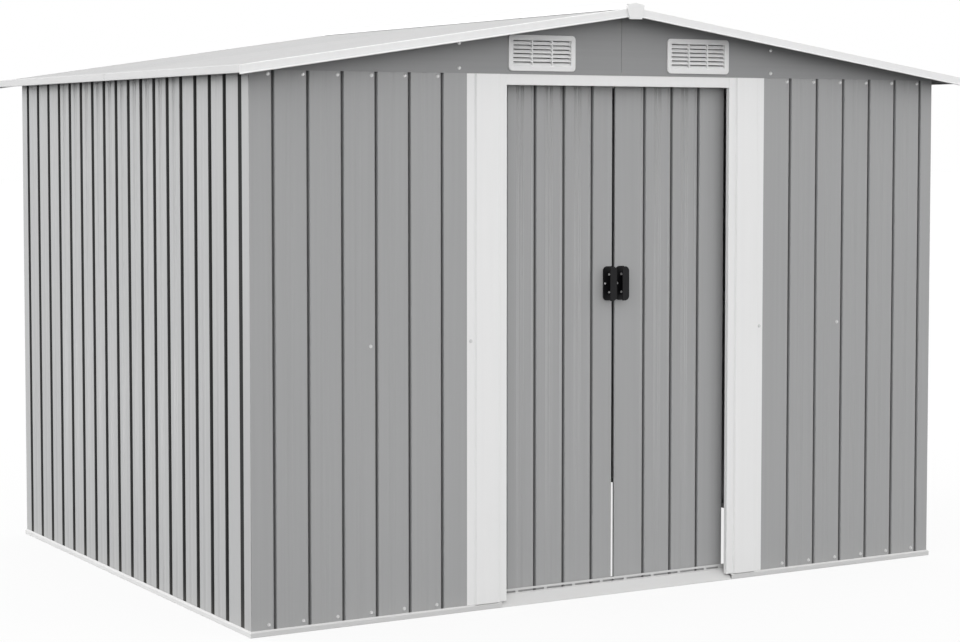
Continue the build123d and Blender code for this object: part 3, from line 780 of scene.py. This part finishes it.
class SHED_OT_hangers(Operator):
    """Build the hanger plates, axles and grooved wheels that carry the doors"""

    bl_idname = "shed.hangers"
    bl_label = "Door Hangers"

    def execute(self, context):
        for side, body in DOOR_BODIES.items():
            self.hangers(context.scene.shed_hangers, side, body)
        return {"FINISHED"}

    def hangers(self, sizes, side, body):
        """Two hangers on one leaf: metal first, then the wheels in their own material."""
        node = f"door_hangers_{side}"
        low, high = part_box(node)
        leaf_low, leaf_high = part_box(f"door_leaf_{side}")
        axle_height = high.z - sizes.wheel_radius
        wheel_middle = low.y + sizes.wheel_width / 2
        axle_length = high.y - wheel_middle
        middles = (leaf_low.x + sizes.inset, leaf_high.x - sizes.inset)
        bm = bmesh.new()
        for x in middles:
            self.plate(bm, sizes, x, high.y, low.z, leaf_high.z)
            place = facing((0, -1, 0), (x, (high.y + wheel_middle) / 2, axle_height))
            cylinder(bm, sizes.axle_radius, axle_length, place, sides=20)
        metal_faces = len(bm.faces)
        for x in middles:
            self.wheel(bm, sizes, Vector((x, wheel_middle, axle_height)))
        for face in added(bm.faces, metal_faces):
            face.material_index = 1
        add_piece(f"{node}_finished", bm, ["bare_zinc", "wheel_nylon"], body, [node])

    def plate(self, bm, sizes, x, back, foot, top):
        """A plate with rounded corners against the leaf."""
        before = len(bm.verts)
        middle = Vector((x, back - sizes.plate_thickness / 2, (foot + top) / 2))
        size = (sizes.plate_width, sizes.plate_thickness, top - foot, 1)
        bmesh.ops.create_cube(bm, size=1.0, matrix=Matrix.Translation(middle) @ Matrix.Diagonal(size))
        edges = {edge for vert in added(bm.verts, before) for edge in vert.link_edges}
        corners = [edge for edge in edges if self.runs_through(edge)]
        round_edges(bm, corners, sizes.plate_corner, steps=4)

    def runs_through(self, edge):
        """Whether an edge runs through the plate's thickness."""
        run = edge.verts[1].co - edge.verts[0].co
        return abs(run.x) < MM and abs(run.z) < MM

    def wheel(self, bm, sizes, centre):
        """A wheel with a shallow groove round it, turned about its axle."""
        half = sizes.wheel_width / 2
        rim = sizes.wheel_radius
        bore = sizes.axle_radius + 0.4 * MM
        chamfer = 1.5 * MM
        groove_edge = 0.4 * half
        profile = [
            (bore, -half), (rim - chamfer, -half), (rim, chamfer - half), (rim, -groove_edge),
            (rim - sizes.groove_depth, 0.0),
            (rim, groove_edge), (rim, half - chamfer), (rim - chamfer, half), (bore, half),
        ]
        verts = [bm.verts.new(centre + Vector((r, y, 0))) for r, y in profile]
        edges = [bm.edges.new(pair) for pair in zip(verts, verts[1:] + verts[:1])]
        before = len(bm.faces)
        bmesh.ops.spin(
            bm, geom=verts + edges, cent=centre, axis=(0, 1, 0), angle=2 * math.pi, steps=36, use_merge=True,
        )
        bmesh.ops.recalc_face_normals(bm, faces=added(bm.faces, before))


class SHED_OT_handles(Operator):
    """Mould the two door handles and drive in their screws"""

    bl_idname = "shed.handles"
    bl_label = "Door Handles"

    def execute(self, context):
        base_thickness = 3 * MM
        screws = ((-11 * MM, 27 * MM), (-25.5 * MM, 0.0), (-11 * MM, -27 * MM))
        for side, body in DOOR_BODIES.items():
            node = f"door_handle_{side}"
            dress_moulding(node, context.scene.shed_folds.moulding, "handle_plastic", body)
            low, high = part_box(node)
            middle = (low.z + high.z) / 2
            seat = high.y - base_thickness
            places = [(Vector((high.x + across, seat, middle + up)), (0, -1, 0)) for across, up in screws]
            screw_piece(f"{node}_screws", places, socket_screw(), body)
        return {"FINISHED"}


class SHED_OT_gables(Operator):
    """Fold the gables, whose flanges meet at the middle"""

    bl_idname = "shed.gables"
    bl_label = "Gables"

    def execute(self, context):
        for node in GABLES:
            dress_sheet(node, context.scene.shed_folds.seam, "gable_paint", shortest=0.12)
        return {"FINISHED"}


class SHED_OT_vents(Operator):
    """Mould the louvred vents of both gables"""

    bl_idname = "shed.vents"
    bl_label = "Vents"

    def execute(self, context):
        for node, outwards in (("front_vents", -1), ("back_vents", 1)):
            self.pair(context.scene.shed_vents, node, outwards)
        return {"FINISHED"}

    def pair(self, sizes, node, outwards):
        """Both vents of one gable, from one shape made facing +Z."""
        low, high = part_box(node)
        width = self.vent_width(node)
        shape = self.vent_shape(sizes, Vector((width, high.z - low.z, high.y - low.y)))
        seat = high.y if outwards < 0 else low.y
        bm = bmesh.new()
        for side in (-1, 1):
            centre = Vector((side * (high.x - width / 2), seat, (low.z + high.z) / 2))
            repeat(bm, shape, [facing((0, outwards, 0), centre)])
        add_piece(f"{node}_finished", bm, ["vent_plastic"], "shed", [node])

    def vent_width(self, node):
        """Width of one vent, from the gap between the two."""
        places = [vert.co.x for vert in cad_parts[node].data.vertices if vert.co.x > 0]
        return max(places) - min(places)

    def vent_shape(self, sizes, size):
        """A rim with rounded edges, two upright bars and a ladder of tilted blades."""
        width, height, thickness = size
        window = (width - 2 * sizes.rim, height - 2 * sizes.rim)
        bm = bmesh.new()
        self.rim(bm, sizes, size, window)
        self.bars(bm, sizes, window, thickness)
        self.blades(bm, sizes, window, thickness)
        return finished_mesh("vent", bm)

    def rim(self, bm, sizes, size, window):
        """The rim, one loop of edges after another, out over its front and back through the window."""
        width, height, thickness = size
        soft = sizes.soft_edge
        inner = sizes.window_corner
        outside = (
            (0.0, 0.0), (0.0, thickness - soft), (0.6 * soft, thickness - 0.3 * soft), (2 * soft, thickness),
        )
        inside = (
            (3.5 * soft, inner + soft, thickness), (soft, inner, thickness - 0.8 * soft),
            (0.0, inner, thickness - 2 * soft), (0.0, inner, -sizes.behind),
            (4 * soft, inner, -sizes.behind), (4 * soft, inner, 0.0),
        )
        sections = [(width - less, height - less, sizes.corner, depth) for less, depth in outside]
        sections += [(window[0] + more, window[1] + more, corner, depth) for more, corner, depth in inside]
        corner_steps = 24
        half_step = Matrix.Rotation(math.pi / corner_steps, 4, "Z")
        round_start = (2.0, 2.0, 1.0, 0.0)
        verts = bmesh.ops.create_circle(bm, segments=corner_steps, radius=1.0, matrix=half_step)["verts"]
        self.reshape(verts, round_start, sections[0])
        for old, new in zip(sections, sections[1:] + sections[:1]):
            made = bmesh.ops.extrude_edge_only(bm, edges=self.ring_of_edges(verts))
            verts = [item for item in made["geom"] if isinstance(item, bmesh.types.BMVert)]
            self.reshape(verts, old, new)
        bmesh.ops.remove_doubles(bm, verts=bm.verts, dist=TOUCHING)
        bmesh.ops.recalc_face_normals(bm, faces=bm.faces)
        small_area = 60 * MM * MM
        for face in bm.faces:
            face.smooth = face.calc_area() < small_area

    def reshape(self, verts, old, new):
        """Moves the points of a rounded rectangle to the width, height, corners and depth of another."""
        for vert in verts:
            for axis in (0, 1):
                way = math.copysign(1.0, vert.co[axis])
                turn = (vert.co[axis] - way * (old[axis] / 2 - old[2])) / old[2]
                vert.co[axis] = way * (new[axis] / 2 - new[2]) + turn * new[2]
            vert.co.z = new[3]

    def ring_of_edges(self, verts):
        """The edges between the points of a loop."""
        loop = set(verts)
        return list({edge for vert in verts for edge in vert.link_edges if loop.issuperset(edge.verts)})

    def bars(self, bm, sizes, window, thickness):
        """Two upright bars, which part the window in three."""
        depth = thickness - sizes.soft_edge + sizes.behind
        offset = (window[0] + sizes.bar_space) / 6
        size = (0.6 * sizes.bar_space, window[1] + sizes.soft_edge, depth, 1)
        for side in (-1, 1):
            place = Matrix.Translation((side * offset, 0, depth / 2 - sizes.behind))
            self.slat(bm, place @ Matrix.Diagonal(size), 0.8 * MM)

    def blades(self, bm, sizes, window, thickness):
        """Blades across the window, one over another."""
        below_middle = 1.6 * MM
        set_back = 5.5 * MM
        pitch = window[1] / sizes.blade_rows
        sloped = Matrix.Rotation(-sizes.blade_tilt, 4, "X")
        size = (window[0] + sizes.soft_edge, sizes.blade_width, sizes.blade_thickness, 1)
        for row in range(sizes.blade_rows):
            level = (row + 0.5) * pitch - window[1] / 2 - below_middle
            place = Matrix.Translation((0, level, thickness - sizes.soft_edge - set_back)) @ sloped
            self.slat(bm, place @ Matrix.Diagonal(size), 0.4 * MM)

    def slat(self, bm, matrix, radius):
        """A straight bar with rounded edges."""
        before = len(bm.edges)
        bmesh.ops.create_cube(bm, size=1.0, matrix=matrix)
        round_edges(bm, added(bm.edges, before), radius, steps=2)


class SHED_OT_roof(Operator):
    """Fold the roof sheets, the trims round the roof and the ridge cap"""

    bl_idname = "shed.roof"
    bl_label = "Roof"

    def execute(self, context):
        folds = context.scene.shed_folds
        for node in ROOF_SHEETS:
            dress_sheet(node, folds.fold, "roof_paint")
        for node in (*VERGE_TRIMS, "ridge_cap"):
            dress_sheet(node, folds.fold, "trim_paint")
        for node in EAVE_TRIMS:
            dress_sheet(node, folds.fold, "eave_paint")
        for node, outwards in VERGE_TRIMS.items():
            self.drip_edge(node, outwards, folds.drip)
        dress_moulding("ridge_end_caps", folds.cap_edge, "trim_paint", least=15.0)
        return {"FINISHED"}

    def drip_edge(self, node, outwards, radius):
        """A rolled bead along the lower edge of both slopes of a verge."""
        low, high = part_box(node)
        face = low.y if outwards < 0 else high.y
        face_depth = 0.1 * MM
        bm = bmesh.new()
        for side in (-1, 1):
            rim = [
                vert.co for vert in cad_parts[node].data.vertices
                if abs(vert.co.y - face) < face_depth and vert.co.x * side > 0
            ]
            distances = [abs(point.x) for point in rim]
            ends = [self.lowest(rim, distance) for distance in (min(distances), max(distances))]
            self.bead(bm, *ends, radius)
        add_piece(f"{node}_drip_edge", bm, ["trim_paint"])

    def lowest(self, points, distance):
        """The lowest of the points at one distance from the middle."""
        level = [point for point in points if abs(abs(point.x) - distance) < MM]
        return min(level, key=lambda point: point.z)

    def bead(self, bm, start, finish, radius):
        """A thin round bead with soft ends, from one point to another."""
        run = finish - start
        sides = 12
        before = len(bm.faces)
        cylinder(bm, radius, run.length, facing(run, (start + finish) / 2), sides)
        made = added(bm.faces, before)
        for face in made:
            face.smooth = len(face.verts) < sides
        rims = [edge for face in made if len(face.verts) == sides for edge in face.edges]
        round_edges(bm, rims, 0.5 * radius, steps=2)


class SHED_OT_inner_frame(Operator):
    """Fold the galvanised rails, beams, braces and door track"""

    bl_idname = "shed.inner_frame"
    bl_label = "Inner Frame"

    def execute(self, context):
        radius = context.scene.shed_folds.frame_fold
        for node in INNER_FRAME:
            dress_sheet(node, radius, "bare_zinc", thickest=2.2 * MM)
        return {"FINISHED"}


class SHED_OT_screws(Operator):
    """Drive the screws into the walls, gables and jambs"""

    bl_idname = "shed.screws"
    bl_label = "Screws"

    def execute(self, context):
        sizes = context.scene.shed_screws
        front = [(point, (0, -1, 0)) for point in self.front_points(sizes)]
        back = [(point, (0, 1, 0)) for point in self.back_points(sizes)]
        screw_piece("front_screws", front, hexagon_screw())
        screw_piece("back_screws", back, hexagon_screw())
        return {"FINISHED"}

    def grooves(self, first, pitch, count):
        """Places of grooves along a wall."""
        return [first + pitch * number for number in range(count)]

    def gable_points(self, sizes, face):
        """Four screws on one gable."""
        heights = (sizes.gable_low, sizes.gable_high)
        return [Vector((side * sizes.gable_screw, face, height)) for side in (-1, 1) for height in heights]

    def front_points(self, sizes):
        """Rows along the front, two into the braces, four on the gable and one on each jamb."""
        pitch = sizes.front_pitch
        count = sizes.front_count
        left = self.grooves(-wall_half_width + sizes.left_groove, pitch, count)
        right = self.grooves(wall_half_width - sizes.right_groove - (count - 1) * pitch, pitch, count)
        rows = ((sizes.top_row, sizes.before_groove_high), (sizes.bottom_row, sizes.before_groove))
        braced = (left[3], right[2])
        jamb_face = front_face - MM
        jamb_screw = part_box("door_jamb_right")[1].x - sizes.jamb_edge
        return [
            *(Vector((x - before, front_face, height)) for x in left + right for height, before in rows),
            *(Vector((x - sizes.before_groove, front_face, sizes.brace_row)) for x in braced),
            *self.gable_points(sizes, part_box("front_gable_left")[0].y),
            *(Vector((side * jamb_screw, jamb_face, sizes.brace_row)) for side in (-1, 1)),
        ]

    def back_points(self, sizes):
        """Rows along the back and four on the gable."""
        half_count = 11
        grooves = self.grooves(-half_count * SIDE_PITCH, SIDE_PITCH, 2 * half_count + 1)
        rows = (sizes.top_row, sizes.bottom_row)
        return [
            *(Vector((x + sizes.before_groove, -front_face, height)) for x in grooves for height in rows),
            *self.gable_points(sizes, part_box("back_gable_left")[1].y),
        ]


class SHED_OT_stage(Operator):
    """Lay the floor and set the light, the sky and the camera"""

    bl_idname = "shed.stage"
    bl_label = "Stage"

    def execute(self, context):
        sizes = context.scene.shed_stage
        self.floor(context, sizes)
        self.sky(context, sizes)
        self.key_light(context, sizes)
        self.camera(context, sizes)
        context.scene.view_settings.view_transform = "Standard"
        return {"FINISHED"}

    def seen_plainly(self, tree):
        """1 for rays that see the backdrop, from the camera or in a reflection, and 0 for its light."""
        path = outputs_of(tree, add_node(tree, "ShaderNodeLightPath"))
        mirrored = calculate(tree, "MAXIMUM", path["Is Glossy Ray"], path["Is Transmission Ray"])
        return calculate(tree, "MAXIMUM", path["Is Camera Ray"], mirrored)

    def floor(self, context, sizes):
        """A wide pale floor that keeps the shed's shadow."""
        just_under = Matrix.Translation((0, 0, -0.2 * MM))
        bm = bmesh.new()
        bmesh.ops.create_grid(bm, x_segments=1, y_segments=1, size=sizes.floor_reach, matrix=just_under)
        mesh = finished_mesh("floor", bm)
        floor = bpy.data.objects.new("floor", mesh)
        context.scene.collection.objects.link(floor)
        material = bpy.data.materials.new("floor_pale")
        material.use_nodes = True
        tree = material.node_tree
        tree.nodes.clear()
        seen = self.seen_plainly(tree)
        tone = seen * (sizes.floor_pale - sizes.floor_bounce) + sizes.floor_bounce
        matt = read(tree, "ShaderNodeBsdfDiffuse", 0, {"Color": tone})
        plain = read(tree, "ShaderNodeEmission", 0, {"Color": WHITE, "Strength": 1.0})
        mixed = read(tree, "ShaderNodeMixShader", 0, {0: seen * sizes.floor_white, 1: matt, 2: plain})
        add_node(tree, "ShaderNodeOutputMaterial", {"Surface": mixed})
        mesh.materials.append(material)

    def sky(self, context, sizes):
        """Soft light, stronger towards the horizon, seen as plain white."""
        world = bpy.data.worlds.new("sky")
        context.scene.world = world
        world.use_nodes = True
        tree = world.node_tree
        tree.nodes.clear()
        rise = component(tree, read(tree, "ShaderNodeTexCoord", "Generated"), "Z")
        levels = {"Value": rise, "To Min": sizes.sky_low, "To Max": sizes.sky_high}
        light = read(tree, "ShaderNodeMapRange", "Result", levels)
        unseen = 1.0 - self.seen_plainly(tree)
        brightness = unseen * (light - 1.0) + 1.0
        sky = read(tree, "ShaderNodeBackground", 0, {"Color": WHITE, "Strength": brightness})
        add_node(tree, "ShaderNodeOutputWorld", {"Surface": sky})

    def key_light(self, context, sizes):
        """One broad soft light, low from the left and a little behind."""
        lamp = bpy.data.lights.new("key_light", "SUN")
        lamp.energy = sizes.sun_strength
        lamp.angle = sizes.sun_spread
        light = bpy.data.objects.new("key_light", lamp)
        light.rotation_euler = Vector(sizes.sun_from).to_track_quat("Z", "Y").to_euler()
        context.scene.collection.objects.link(light)

    def camera(self, context, sizes):
        """The camera, dipped a little and turned towards the shed."""
        data = bpy.data.cameras.new("camera")
        data.lens = sizes.camera_lens
        data.shift_y = sizes.camera_shift
        data.clip_end = 4 * sizes.floor_reach
        camera = bpy.data.objects.new("camera", data)
        camera.location = sizes.camera_from
        camera.rotation_euler = (math.pi / 2 - sizes.camera_dip, 0, -sizes.camera_turn)
        context.scene.collection.objects.link(camera)
        context.scene.camera = camera


PROPERTY_GROUPS = {
    "shed_finishes": ShedFinishes,
    "shed_folds": ShedFolds,
    "shed_screws": ShedScrews,
    "shed_vents": ShedVents,
    "shed_hangers": ShedHangers,
    "shed_stage": ShedStage,
}
OPERATORS = (
    SHED_OT_walls, SHED_OT_base, SHED_OT_doorway, SHED_OT_doors, SHED_OT_hangers, SHED_OT_handles,
    SHED_OT_gables, SHED_OT_vents, SHED_OT_roof, SHED_OT_inner_frame, SHED_OT_screws, SHED_OT_stage,
)


class SHED_PT_panel(Panel):
    bl_label = "Metal Storage Shed"
    bl_idname = "SHED_PT_panel"
    bl_space_type = "VIEW_3D"
    bl_region_type = "UI"
    bl_category = "Shed"

    def draw(self, context):
        for operator in OPERATORS:
            self.layout.operator(operator.bl_idname)
        for name in PROPERTY_GROUPS:
            box = self.layout.box()
            settings = getattr(context.scene, name)
            for prop in settings.__annotations__:
                box.prop(settings, prop)


CLASSES = (*PROPERTY_GROUPS.values(), *OPERATORS, SHED_PT_panel)


def register():
    for cls in CLASSES:
        bpy.utils.register_class(cls)
    for name, group in PROPERTY_GROUPS.items():
        setattr(bpy.types.Scene, name, PointerProperty(type=group))


def unregister():
    for name in PROPERTY_GROUPS:
        delattr(bpy.types.Scene, name)
    for cls in reversed(CLASSES):
        bpy.utils.unregister_class(cls)


def main():
    """Builds every piece in order."""
    register()
    for operator in OPERATORS:
        group, action = operator.bl_idname.split(".")
        getattr(getattr(bpy.ops, group), action)()


if __name__ == "__main__":
    main()
